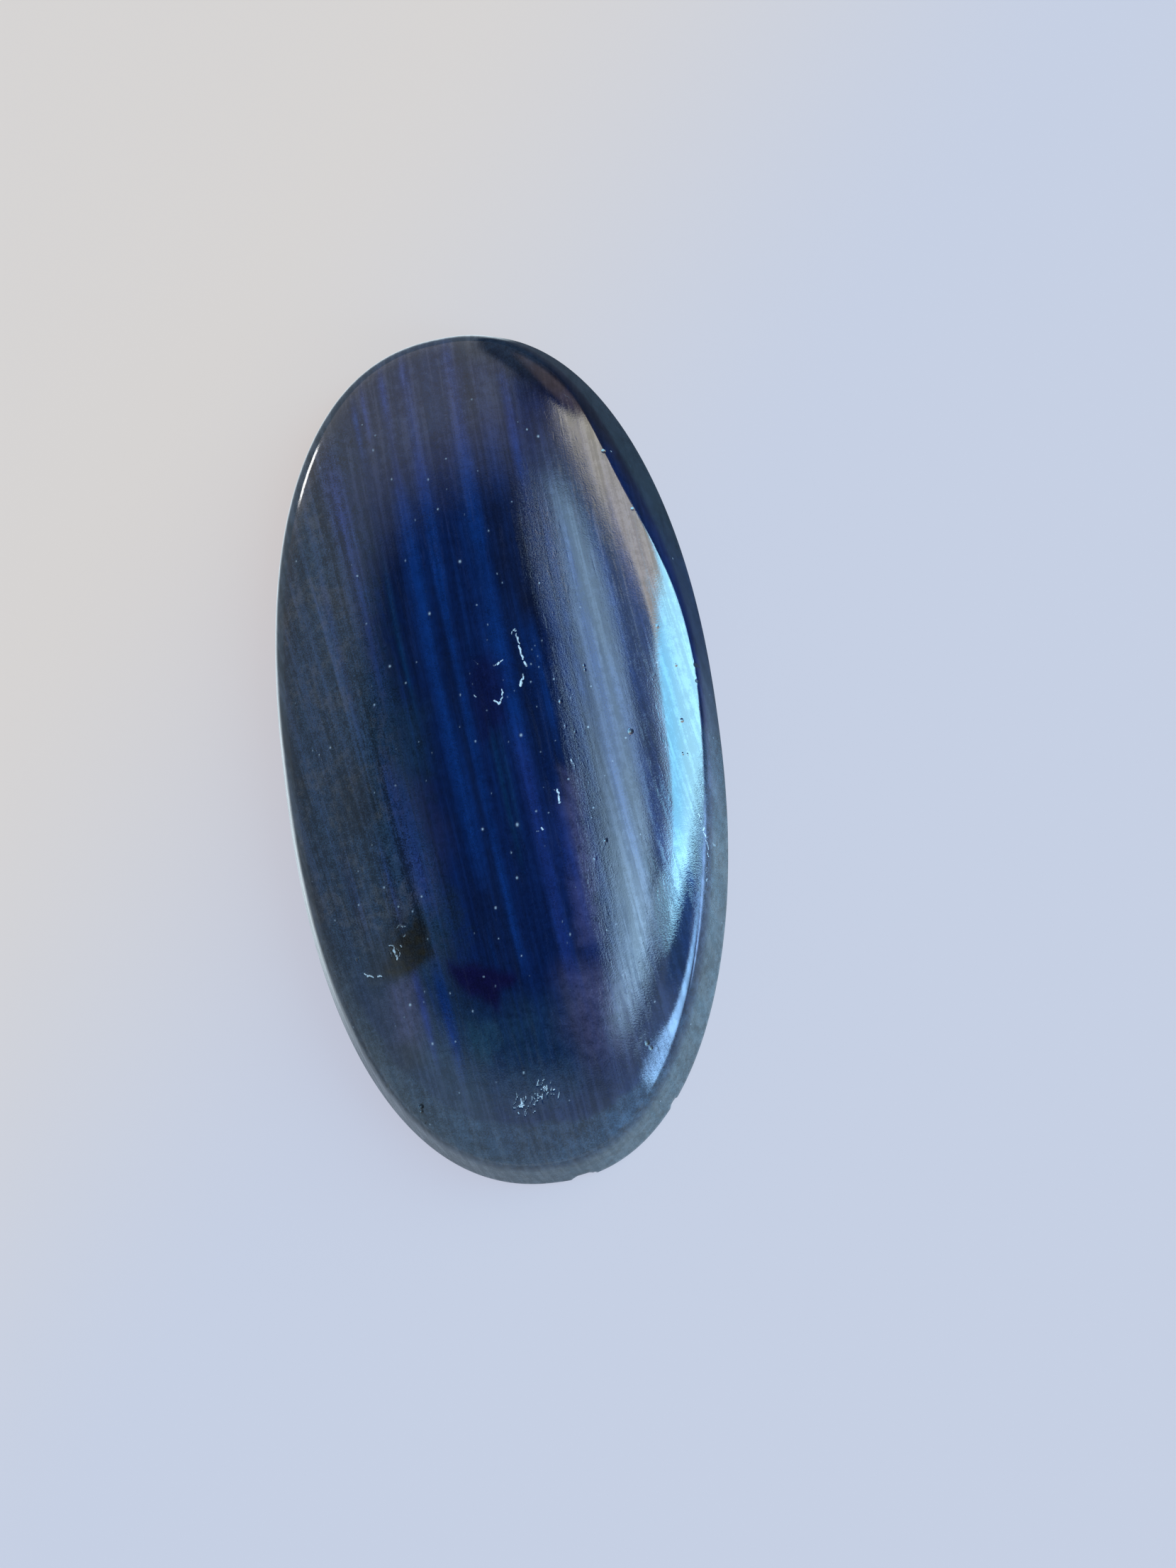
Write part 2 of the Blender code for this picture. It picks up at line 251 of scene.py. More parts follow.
# Where the hand ground less or more: the angle round the stone, how local the place is,
# the change of the wall's lean in degrees and the change of the shoulder's drop
HAND_CHANGES = ((6.0, 20, -6.5, -0.65), (34.0, 30, 6.5, 0.0))
FOOT_WAVES = 3.0
SIDE_WAVES = 5.0
DOME_POWER = 2

# The mesh: its rings on the wall, on the shoulder and on the dome, and how far in the wall's rings go
WALL_RINGS = 14
SHOULDER_RINGS = 26
DOME_RINGS = 90
GRID_REACH = WALL_RINGS + SHOULDER_RINGS + DOME_RINGS
WALL_ZONE = 0.9 * MM
# The back bevel's section: shares of its width and height
BEVEL_STEPS = ((0.12, 0.55), (0.45, 0.12), (1.0, 0.0))
OUTLINE_STEPS = 720
OUTWARD_STEP = math.radians(0.005)
SEARCH_STEP = math.radians(12.0)
# This close to a flaw the mesh is cut by this many more lines
FINE_MARGIN = 0.12
FINE_CUTS = 3
# The polished face lies above this height in millimetres, and its normals point up by this much
FACE_HEIGHT = 1.0
FACE_UPWARD = 0.25

# The finish
MICRON = 0.000001
POLISH_ROUGHNESS = 0.055
LEAST_TONE = 0.4


bl_info = {
    "name": "Labradorite Cabochon",
    "version": (1, 0, 0),
    "blender": (4, 5, 0),
    "location": "View3D > Sidebar > Labradorite",
    "description": "Grinds, flaws and polishes an oval labradorite cabochon and lights it on a pale table",
    "category": "Object",
}


def setting(name, description, default, **kind):
    return FloatProperty(name=name, description=description, default=default, **kind)


def length_setting(name, description, default):
    return setting(name, description, default, unit="LENGTH", precision=5)


def angle_setting(name, description, degrees):
    return setting(name, description, math.radians(degrees), subtype="ANGLE")


def colour_setting(name, description, default):
    return FloatVectorProperty(
        name=name, description=description, default=default, subtype="COLOR", size=3, min=0.0, max=1.0
    )


class StoneShape(bpy.types.PropertyGroup):
    """The cutter's sizes, the same as the solid's."""

    length: length_setting("Length", "Along the oval", SOLID_HIGH[1] - SOLID_LOW[1])
    width: length_setting("Width", "Across the oval", SOLID_HIGH[0] - SOLID_LOW[0])
    crown: length_setting("Crown height", "Back to the top of the dome", SOLID_HIGH[2] - SOLID_LOW[2])
    outline_power: setting("Outline power", "2 is an ellipse, more is squarer", 2.26)
    foot_fullness: setting("Foot fullness", "How much fuller the foot is than the head", 0.003)
    side_fullness: setting("Side fullness", "How much the sides swell", 0.0026)
    dome_edge: length_setting("Dome edge height", "Where the dome alone would meet the outline", 3.9 * MM)
    shoulder_drop: length_setting("Shoulder drop", "How far the shoulder rolls off the dome", 1.67 * MM)
    shoulder_width: length_setting("Shoulder width", "How far in the shoulder starts", 2.6 * MM)
    shoulder_power: setting("Shoulder power", "How late the shoulder rolls over", 2.5)
    wall_lean: angle_setting("Wall lean", "The ground wall's lean from upright", 15.0)
    ridge_blend: length_setting("Ridge blend", "How softly the wall meets the shoulder", 0.6 * MM)
    bevel_width: length_setting("Back bevel width", "The bevel round the back", 0.3 * MM)
    bevel_height: length_setting("Back bevel height", "The height of the same bevel", 0.4 * MM)


class StoneLook(bpy.types.PropertyGroup):
    """The stone's own colours, as they are in flat light; the shadow is painted shade and the milk is partly a
    painted reflection of the table.
    """

    navy: colour_setting("Navy", "The dark body in the middle", (0.0007, 0.0042, 0.0205))
    deep: colour_setting("Deep", "The darker layers between", (0.0009, 0.0033, 0.0135))
    slate: colour_setting("Slate", "The greyer body along the left side", (0.0085, 0.017, 0.029))
    umber: colour_setting("Umber", "Brownish patches in the slate", (0.02, 0.0195, 0.0215))
    blue: colour_setting("Blue flash", "The vivid bands", (0.0009, 0.0108, 0.052))
    violet: colour_setting("Violet flash", "The paler bands near the head and the foot", (0.0075, 0.0155, 0.074))
    teal: colour_setting("Teal flash", "The few greener bands", (0.001, 0.015, 0.04))
    # Partly the stone's cloudier rim, partly a painted reflection of the table
    milk_and_reflection: colour_setting("Milk", "The cloudier rim", (0.012, 0.0205, 0.033))
    purple: colour_setting("Purple", "The purple blooms", (0.028, 0.022, 0.042))
    brown: colour_setting("Brown", "The included grain near the foot", (0.0068, 0.0055, 0.004))
    indigo: colour_setting("Indigo", "The darkest blue patch near the foot", (0.0018, 0.0016, 0.014))
    # Painted shade laid where the head's right side is darker, not a colour of the stone
    shadow: colour_setting("Shadow", "The brownish dark at the head's right side", (0.0022, 0.0024, 0.0048))
    pale: colour_setting("Pale", "The greener lower body", (0.0068, 0.018, 0.03))
    rim: colour_setting("Rim", "The greyer ground wall", (0.021, 0.031, 0.038))
    chalk: colour_setting("Chalk", "Cracks", (0.3, 0.32, 0.34))
    dust: colour_setting("Dust", "Specks", (0.26, 0.28, 0.31))
    pit: colour_setting("Pit", "The bottoms of the pits", (0.004, 0.006, 0.009))


class StageSettings(bpy.types.PropertyGroup):
    """The table, the soft light and the camera."""

    table_colour: colour_setting("Table", "The pale table's colour", (0.05, 0.05, 0.05))
    table_warm: colour_setting("Warm glow", "The table at the upper left", (0.605, 0.552, 0.517))
    table_cool: colour_setting("Cool glow", "The table at the lower right", (0.494, 0.521, 0.636))
    table_radius: length_setting("Table radius", "The round table top", 0.6)
    backdrop: colour_setting("Backdrop", "What the camera sees past the table", (0.72, 0.75, 0.8))
    lens: setting("Lens", "Focal length in millimetres", 70.0)
    tilt_right: angle_setting("Tilt right", "How far right of upright the camera stands", 8.0)
    tilt_down: angle_setting("Tilt down", "How far toward the foot the camera stands", 10.0)
    roll: angle_setting("Roll", "The camera's turn about its own axis", -7.726)
    distance: length_setting("Distance", "Camera to the point that it looks at", 175.784 * MM)
    look_across: length_setting("Look across", "The looked-at point, across the stone", 4.833 * MM)
    look_along: length_setting("Look along", "The looked-at point, along the stone", -2.659 * MM)


class Wire:
    """A shader socket that takes part in Python sums."""

    def __init__(self, tree, socket):
        self.tree = tree
        self.socket = socket

    def maths(self, operation, *values):
        made = self.tree.nodes.new("ShaderNodeMath")
        made.operation = operation
        for slot, value in zip(made.inputs, values):
            connect(self.tree, slot, value)
        return Wire(self.tree, made.outputs[0])

    def __add__(self, other):
        return self.maths("ADD", self, other)

    def __radd__(self, other):
        return self.maths("ADD", other, self)

    def __sub__(self, other):
        return self.maths("SUBTRACT", self, other)

    def __rsub__(self, other):
        return self.maths("SUBTRACT", other, self)

    def __mul__(self, other):
        return self.maths("MULTIPLY", self, other)

    def __rmul__(self, other):
        return self.maths("MULTIPLY", other, self)

    def __truediv__(self, other):
        return self.maths("DIVIDE", self, other)

    def __pow__(self, other):
        return self.maths("POWER", self, other)

    def no_less_than(self, other):
        return self.maths("MAXIMUM", self, other)

    def no_more_than(self, other):
        return self.maths("MINIMUM", self, other)


def connect(tree, slot, value):
    """Links a wire, or sets a plain value."""
    if isinstance(value, Wire):
        tree.links.new(value.socket, slot)
    else:
        slot.default_value = value


class Recipe:
    """A node tree being written."""

    def __init__(self, tree):
        self.tree = tree
        tree.nodes.clear()

    def node(self, kind, settings=None, inputs=None, output=0):
        made = self.tree.nodes.new(kind)
        for name, value in (settings or {}).items():
            setattr(made, name, value)
        for name, value in (inputs or {}).items():
            connect(self.tree, made.inputs[name], value)
        return Wire(self.tree, made.outputs[output]) if made.outputs else made

    def split(self, vector):
        made = self.node("ShaderNodeSeparateXYZ", inputs={"Vector": vector}).socket.node
        return tuple(Wire(self.tree, part) for part in made.outputs)

    def joined(self, x, y, z):
        return self.node("ShaderNodeCombineXYZ", inputs={"X": x, "Y": y, "Z": z})

    def rise(self, value, middle, softness):
        """0 below the middle and 1 above it, with a soft step. A negative softness turns it round."""
        return self.node(
            "ShaderNodeMapRange",
            {"interpolation_type": "SMOOTHSTEP"},
            {"Value": value, "From Min": middle - softness, "From Max": middle + softness},
        )

    def band(self, value, low, high, softness):
        """1 between two limits, with soft ends."""
        return self.rise(value, low, softness) * self.rise(value, high, -softness)

    def reach(self, x, y, middle, radii):
        """How far out a place is on an oval, 1 on its rim."""
        across = (x - middle[0]) / radii[0]
        along = (y - middle[1]) / radii[1]
        return (across * across + along * along) ** 0.5

    def noise(self, place, scale, detail, roughness):
        return self.node(
            "ShaderNodeTexNoise",
            inputs={"Vector": place, "Scale": scale, "Detail": detail, "Roughness": roughness},
        )

    def mask(self, name):
        """The three masks held by one of the mesh's attributes."""
        return self.split(self.node("ShaderNodeAttribute", {"attribute_name": name}))

    def scaled(self, vector, scale):
        inputs = {"Vector": vector, "Scale": scale}
        return self.node("ShaderNodeVectorMath", {"operation": "SCALE"}, inputs)

    def mix(self, share, first, second):
        """The share is held between 0 and 1."""
        made = self.tree.nodes.new("ShaderNodeMix")
        made.data_type = "RGBA"
        connect(self.tree, made.inputs["Factor"], share)
        connect(self.tree, made.inputs["A"], colour_value(first))
        connect(self.tree, made.inputs["B"], colour_value(second))
        return Wire(self.tree, made.outputs["Result"])

    def layered(self, colour, *layers):
        """Lays colours over the first one in turn, each by its share."""
        for share, laid in layers:
            colour = self.mix(share, colour, laid)
        return colour

    def surface(self, inputs):
        """Ends a material with one shader that has these inputs."""
        shader = self.node("ShaderNodeBsdfPrincipled", inputs=inputs)
        self.node("ShaderNodeOutputMaterial", inputs={"Surface": shader})


def colour_value(value):
    """A wire as it is, or a plain colour with its alpha."""
    return value if isinstance(value, Wire) else (*value, 1.0)


def outline(shape, angle):
    """The point of the oval at an angle round it."""
    across = math.cos(angle)
    along = math.sin(angle)
    power = shape.outline_power
    reach = (abs(across) ** power + abs(along) ** power) ** (-1.0 / power)
    fuller = shape.foot_fullness * math.sin(FOOT_WAVES * angle)
    reach *= 1.0 + fuller + shape.side_fullness * math.cos(SIDE_WAVES * angle)
    return shape.width / 2.0 * across * reach, shape.length / 2.0 * along * reach


def outward(shape, angle):
    """The outline's outward direction at an angle."""
    x0, y0 = outline(shape, angle - OUTWARD_STEP)
    x1, y1 = outline(shape, angle + OUTWARD_STEP)
    run = math.hypot(x1 - x0, y1 - y0)
    return (y1 - y0) / run, (x0 - x1) / run


def outline_middle(shape):
    """Where the fuller foot puts the middle of the oval's box."""
    points = [outline(shape, math.tau * step / OUTLINE_STEPS) for step in range(OUTLINE_STEPS)]
    xs = [x for x, y in points]
    ys = [y for x, y in points]
    return (max(xs) + min(xs)) / 2.0, (max(ys) + min(ys)) / 2.0


def soft_minimum(first, second, blend):
    """The lower of two heights, with the ridge between them rounded."""
    share = min(1.0, max(0.0, 0.5 + 0.5 * (second - first) / blend))
    return second * (1.0 - share) + first * share - blend * share * (1.0 - share)


def top_height(shape, x, y, inset, angle):
    """Dome, rounded shoulder and leaning wall in one surface."""
    across = abs(x) / (shape.width / 2.0)
    along = abs(y) / (shape.length / 2.0)
    power = shape.outline_power
    reach = (across ** power + along ** power) ** (1.0 / power)
    dome = shape.crown - (shape.crown - shape.dome_edge) * reach ** DOME_POWER
    lean = shape.wall_lean
    drop = shape.shoulder_drop
    for place, focus, lean_change, drop_change in HAND_CHANGES:
        share = max(0.0, math.cos(angle - math.radians(place))) ** focus
        lean += math.radians(lean_change) * share
        drop += drop_change * MM * share
    shoulder = drop * max(0.0, 1.0 - inset / shape.shoulder_width) ** shape.shoulder_power
    wall = shape.bevel_height + inset / math.tan(lean)
    return soft_minimum(dome - shoulder, wall, shape.ridge_blend)


def ring_place(shape, ring):
    """The inset from the outline, and the shrink toward the middle, of a ring counted from the middle."""
    outer = GRID_REACH - ring
    if outer <= WALL_RINGS:
        return WALL_ZONE * outer / WALL_RINGS, 1.0
    if outer <= WALL_RINGS + SHOULDER_RINGS:
        share = (outer - WALL_RINGS) / SHOULDER_RINGS
        return WALL_ZONE + (shape.shoulder_width - WALL_ZONE) * share, 1.0
    return shape.shoulder_width, ring / DOME_RINGS


def ring_angle(i, j):
    """The angle round the stone of a place on a square grid."""
    if abs(i) >= abs(j):
        angle = math.pi / 4.0 * j / i if i else 0.0
        return angle if i >= 0.0 else angle + math.pi
    angle = math.pi / 2.0 - math.pi / 4.0 * i / j
    return angle if j > 0.0 else angle + math.pi


def face_point(shape, middle, i, j):
    """The polished surface's point for a place on the square grid."""
    ring = max(abs(i), abs(j))
    angle = ring_angle(i, j)
    inset, shrink = ring_place(shape, ring)
    x, y = outline(shape, angle)
    nx, ny = outward(shape, angle)
    x = (x - nx * inset) * shrink
    y = (y - ny * inset) * shrink
    return Vector((x - middle[0], y - middle[1], top_height(shape, x, y, inset, angle)))


def ground_stone(shape):
    """The whole stone before any flaw: the polished face, the bevel round the back and the flat back."""
    middle = outline_middle(shape)
    form = bmesh.new()
    bmesh.ops.create_grid(form, x_segments=2 * GRID_REACH, y_segments=2 * GRID_REACH, size=GRID_REACH)
    for vertex in form.verts:
        vertex.co = face_point(shape, middle, vertex.co.x, vertex.co.y)
    rim = [edge for edge in form.edges if edge.is_boundary]
    gone_in = 0.0
    for run, height in BEVEL_STEPS:
        grown = bmesh.ops.extrude_edge_only(form, edges=rim)["geom"]
        inset = shape.bevel_width * run
        for vertex in [item for item in grown if isinstance(item, bmesh.types.BMVert)]:
            x = vertex.co.x + middle[0]
            y = vertex.co.y + middle[1]
            nx, ny = outward(shape, nearest_angle(shape, x, y))
            step = inset - gone_in
            vertex.co = (vertex.co.x - nx * step, vertex.co.y - ny * step, shape.bevel_height * height)
        gone_in = inset
        rim = [item for item in grown if isinstance(item, bmesh.types.BMEdge)]
    bmesh.ops.holes_fill(form, edges=[edge for edge in form.edges if edge.is_boundary], sides=0)
    bmesh.ops.recalc_face_normals(form, faces=form.faces)
    return form, middle


def nearest_angle(shape, x, y):
    """The angle of the outline's point nearest to a place, by halving steps from a first guess."""
    guess = math.atan2(y / shape.length, x / shape.width)
    step = SEARCH_STEP

    def gap(angle):
        px, py = outline(shape, angle)
        return (px - x) ** 2 + (py - y) ** 2

    best = gap(guess)
    while step > OUTWARD_STEP:
        moved = False
        for turn in (-step, step):
            tried = gap(guess + turn)
            if tried < best:
                best = tried
                guess += turn
                moved = True
                break
        if not moved:
            step /= 2.0
    return guess


def settle(shape, middle, vertices):
    """Puts the vertices of the finer patches back on the curved face."""
    for vertex in vertices:
        x = vertex.co.x + middle[0]
        y = vertex.co.y + middle[1]
        angle = nearest_angle(shape, x, y)
        px, py = outline(shape, angle)
        inset = math.hypot(px - x, py - y)
        vertex.co.z = top_height(shape, x, y, inset, angle)


def path_gap(places, path):
    """Each place's distance in millimetres from a path of points."""
    gap = np.full(len(places), np.inf)
    for first, second in zip(path, path[1:]):
        start = np.array(first)
        run = np.array(second) - start
        share = ((places - start) @ run) / max(run @ run, 1e-9)
        nearest = start + np.clip(share, 0.0, 1.0)[:, None] * run
        gap = np.minimum(gap, np.hypot(*(places - nearest).T))
    return gap


def inside_loop(places, loop):
    """Whether each place lies inside a closed outline of points."""
    x, y = places.T
    inside = np.zeros(len(places), dtype=bool)
    for (x0, y0), (x1, y1) in zip(loop, loop[1:] + loop[:1]):
        crosses = (y0 > y) != (y1 > y)
        reach = x0 + (y - y0) / ((y1 - y0) or 1e-9) * (x1 - x0)
        inside ^= crosses & (x < reach)
    return inside


def waver(x, y, seed):
    """A smooth wandering from -1 to 1 over the face."""
    total = 0.0
    for step in range(1, 5):
        total = total + np.sin(x * step * 1.3 + seed * step + 1.7 * np.sin(y * step * 0.9 + seed)) / step
    return total / 2.1


def crack_strokes():
    """Breaks every crack into short uneven strokes: two ends, half width and whiteness."""
    dice = random.Random(7)
    strokes = []
    for path, half_width, whiteness in CRACKS:
        for first, second in zip(path, path[1:]):
            run = Vector(second) - Vector(first)
            pieces = max(1, round(run.length / STROKE_LENGTH))
            side = Vector((-run.y, run.x)).normalized()
            places = [Vector(first) + run * step / pieces for step in range(pieces + 1)]
            places = [place + side * dice.uniform(-STROKE_STRAY, STROKE_STRAY) for place in places]
            for start, end in zip(places, places[1:]):
                width = half_width * dice.uniform(*STROKE_WIDTHS)
                strength = whiteness * dice.uniform(*STROKE_WHITENESS)
                if dice.random() > STROKES_LEFT_OUT:
                    strokes.append((tuple(start), tuple(end), width, strength))
    middle_x, middle_y, half_x, half_y, lean, count = CRACK_WEB
    course = Matrix.Rotation(math.radians(lean), 2)
    for _ in range(count):
        place = Vector((dice.uniform(-1.0, 1.0) * half_x, dice.gauss(0.0, 0.55) * half_y))
        start = Vector((middle_x, middle_y)) + course @ place
        turn = math.radians(dice.choice(WEB_TURNS) + dice.uniform(-WEB_SWAY, WEB_SWAY))
        run = Vector((math.cos(turn), math.sin(turn))) * dice.uniform(*WEB_LENGTHS)
        width = dice.uniform(*WEB_HALF_WIDTHS)
        strokes.append((tuple(start), tuple(start + run), width, dice.uniform(*WEB_WHITENESS)))
    return strokes


def refine(form, shape, middle, strokes):
    """Cuts the mesh finer round every placed flaw."""
    faces = [face for face in form.faces if face.normal.z > FACE_UPWARD]
    places = np.array([face.calc_center_median()[:2] for face in faces]) / MM
    near = np.zeros(len(faces), dtype=bool)
    for start, end, half_width, _ in strokes:
        near |= path_gap(places, (start, end)) < half_width + FINE_MARGIN
    for x, y, radius, *_ in SPECKS + PITS:
        near |= np.hypot(places[:, 0] - x, places[:, 1] - y) < radius + FINE_MARGIN
    edges = list({edge for face, wanted in zip(faces, near) if wanted for edge in face.edges})
    cut = bmesh.ops.subdivide_edges(form, edges=edges, cuts=FINE_CUTS, use_grid_fill=True)
    made = [item for item in cut["geom_inner"] if isinstance(item, bmesh.types.BMVert)]
    settle(shape, middle, made)


def scoop(form, centre, radius):
    """Pushes what lies inside a ball out to its surface."""
    for vertex in form.verts:
        gap = vertex.co - centre
        if gap.length < radius:
            vertex.co = centre + gap.normalized() * radius


def chip_edge(form, shape, middle):
    """Breaks the chips out of the back edge."""
    for degrees, radius, bite in EDGE_CHIPS:
        angle = math.radians(degrees)
        x, y = outline(shape, angle)
        nx, ny = outward(shape, angle)
        out = (radius - bite) * MM
        centre = Vector((x + nx * out - middle[0], y + ny * out - middle[1], shape.bevel_height / 2.0))
        scoop(form, centre, radius * MM)


def press_pits(form, strokes):
    """Sinks the pits and the cracks into the face."""
    places = np.array([vertex.co for vertex in form.verts]) / MM
    sink = np.zeros(len(places))
    for x, y, radius, depth in PITS:
        share = np.hypot(places[:, 0] - x, places[:, 1] - y) / radius
        sink = np.maximum(sink, depth * np.clip(1.0 - share ** 2, 0.0, 1.0))
    for start, end, half_width, strength in strokes:
        share = path_gap(places[:, :2], (start, end)) / half_width
        sink = np.maximum(sink, CRACK_DEPTH * strength * np.clip(1.0 - share ** 2, 0.0, 1.0))
    for vertex, depth, place in zip(form.verts, sink, places):
        if depth > 0.0 and place[2] > FACE_HEIGHT:
            vertex.co.z -= depth * MM


def lamella(x, y):
    """Which of the stone's parallel layers a place in millimetres on the face belongs to."""
    lean, curve, twist, spread, fan = LAMELLA_COURSE
    return x + y * (lean + curve * y + twist * x + spread * x * y + fan * x * x)


def soft_window(value, low, high, softness):
    """1 between two limits, with soft ends."""
    above = np.clip((value - low) / softness + 0.5, 0.0, 1.0)
    return above * np.clip((high - value) / softness + 0.5, 0.0, 1.0)


def flash_mask(x, y):
    """The blue, violet and teal bands, a little uneven in width and strength."""
    layer = lamella(x, y)
    flash = np.zeros((len(x), 4))
    for number, (hue, middle, half_width, high, low, strength) in enumerate(FLASH_BANDS):
        ends = min(3.0, (high - low) / 1.6)
        course = middle + 0.06 * waver(y * 0.2, layer * 0.1, number)
        width = half_width * (1.3 + 0.2 * waver(y * 0.25, layer * 0.2, number + 0.5))
        laid = strength * (0.95 + 0.2 * waver(y * 0.3, layer * 1.2, number * 1.7))
        laid = laid * np.exp(-((layer - course) / width) ** 2) * soft_window(y, low, high, ends)
        flash[:, hue] = 1.0 - (1.0 - flash[:, hue]) * (1.0 - np.clip(laid, 0.0, 1.0))
    return flash


def patch_masks(x, y):
    """Milk blooms, partly a painted reflection of the table, brown and purple blooms, then indigo, painted
    shadow and pale ones.
    """
    across = x + 0.22 * waver(y * 1.1, x * 1.3, 2.0)
    along = y + 0.22 * waver(x * 1.1, y * 1.3, 5.0)
    places = np.stack((across, along), axis=1)
    masks = np.zeros((len(x), 6))
    for hue, softness, strength, loop in PATCHES:
        gap = path_gap(places, loop + loop[:1])
        gap = np.where(inside_loop(places, loop), gap, -gap)
        share = np.clip(gap / softness + 0.5, 0.0, 1.0)
        laid = strength * share * share * (3.0 - 2.0 * share)
        masks[:, hue] = np.maximum(masks[:, hue], laid)
    return masks


def flaw_mask(x, y, face, strokes):
    """Cracks, pits and specks."""
    places = np.stack((x, y), axis=1)
    flaws = np.zeros((len(x), 4))
    for start, end, half_width, strength in strokes:
        laid = strength * np.clip(1.3 - path_gap(places, (start, end)) / (1.4 * half_width), 0.0, 1.0)
        flaws[:, 0] = np.maximum(flaws[:, 0], laid * face)
    for cx, cy, radius, depth in PITS:
        laid = np.clip(1.5 - np.hypot(x - cx, y - cy) / radius, 0.0, 1.0)
        flaws[:, 1] = np.maximum(flaws[:, 1], laid * face * min(1.0, depth / 0.06))
    for cx, cy, radius in SPECKS:
        laid = min(1.0, radius / 0.09) * np.exp(-((x - cx) ** 2 + (y - cy) ** 2) / (0.5 * radius) ** 2)
        flaws[:, 2] = np.maximum(flaws[:, 2], laid * face)
    return flaws


def scuff_mask(x, y):
    """Where the polish is worn."""
    scuffs = np.zeros((len(x), 4))
    for cx, cy, across, along, turn, strength in SCUFFS:
        cos, sin = math.cos(math.radians(turn)), math.sin(math.radians(turn))
        dx, dy = x - cx, y - cy
        reach = np.hypot((dx * cos + dy * sin) / across, (dy * cos - dx * sin) / along)
        scuffs[:, 0] = np.maximum(scuffs[:, 0], strength * np.clip(1.5 - reach, 0.0, 1.0))
    return scuffs


def paint_masks(mesh, strokes):
    """Writes where the flash bands, the patches and the flaws lie, for the finish to read."""
    count = len(mesh.vertices)
    places = np.empty(count * 3)
    mesh.vertices.foreach_get("co", places)
    x, y, z = places.reshape(-1, 3).T / MM
    patches = np.zeros((count, 8))
    patches[:, (0, 1, 2, 4, 5, 6)] = patch_masks(x, y)
    masks = {
        "flash": flash_mask(x, y),
        "blooms": patches[:, :4],
        "shades": patches[:, 4:],
        "flaws": flaw_mask(x, y, z > FACE_HEIGHT, strokes),
        "scuffs": scuff_mask(x, y),
    }
    for name, values in masks.items():
        mask = mesh.attributes.new(name, "FLOAT_COLOR", "POINT")
        mask.data.foreach_set("color", values.astype(np.float32).ravel())


def body_colour(recipe, look, x, y, layer, wall, noises):
    """The stone's colour without its flaws: the dark body, the flash bands, the blooms and the wall, with
    painted shade at the head's right side and the milk also laid as a painted reflection of the table.
    """
    broad, fine, patch, mottle, speckle = noises
    rise = recipe.rise
    blue, violet, teal = recipe.mask("flash")
    milk_and_reflection, brown, purple = recipe.mask("blooms")
    indigo, shadow, pale = recipe.mask("shades")
    slaty = 1.0 - rise(layer + (mottle - 0.5) * 3.0 + (patch - 0.5) * 4.0, -4.6, 1.8)
    left = slaty * (0.15 + rise(y, -11.5, 3.0) * 0.85)
    umber = rise(patch + (mottle - 0.5) * 0.8, 0.55, 0.1)
    fibre = fine * 1.1 + 0.45
    spread = recipe.reach(x, y, (0.0, 0.0), (HALF_WIDTH / MM, HALF_LENGTH / MM))
    # Painted shade: the wall's greyer rim colour is held back toward the head's right side, which is darker
    painted_head_shade = rise(y + x * 0.35, 3.0, 9.0)
    colour = recipe.layered(
        look.navy,
        (rise(broad + (patch - 0.5) * 0.7, 0.5, 0.12), look.deep),
        (slaty * (0.45 + rise(y, -13.0, 2.0) * 0.55), look.slate),
        (umber * left * 0.75, look.umber),
        (pale * (0.4 + mottle * 1.2), look.pale),
        (purple * (0.3 + mottle * 1.4), look.purple),
        (blue * fibre, look.blue),
        (violet * fibre, look.violet),
        (teal * fibre, look.teal),
        (rise(fine, 0.56, 0.16) * 0.22 * (1.0 - milk_and_reflection), look.blue),
        (indigo * 0.95, look.indigo),
        (shadow, look.shadow),
        # The milk is laid stronger at the outline, where it stands in as a painted reflection of the table
        (milk_and_reflection * (0.5 + mottle * 0.9) * (0.6 + rise(spread, 0.95, 0.05) * 0.45), look.milk_and_reflection),
        (brown * (0.35 + mottle * 1.3), look.brown),
        (wall * (1.0 - painted_head_shade * 0.7), look.rim),
    )
    threads = (0.6 + left * 2.0) * (1.0 - milk_and_reflection * 0.5) * (0.5 + rise(y, -14.0, 3.0) * 0.5)
    tone = 1.0 + (fine - 0.5) * threads + (mottle - 0.5) * (1.1 + left * 0.9 + milk_and_reflection * 1.3)
    tone = tone + (broad - 0.5) * left * 1.6 + (speckle - 0.5) * (1.1 + left * 2.1 + milk_and_reflection * 1.4)
    tone = tone + (patch - 0.5) * (0.9 + milk_and_reflection * 0.6)
    return recipe.scaled(colour, tone.no_less_than(LEAST_TONE))


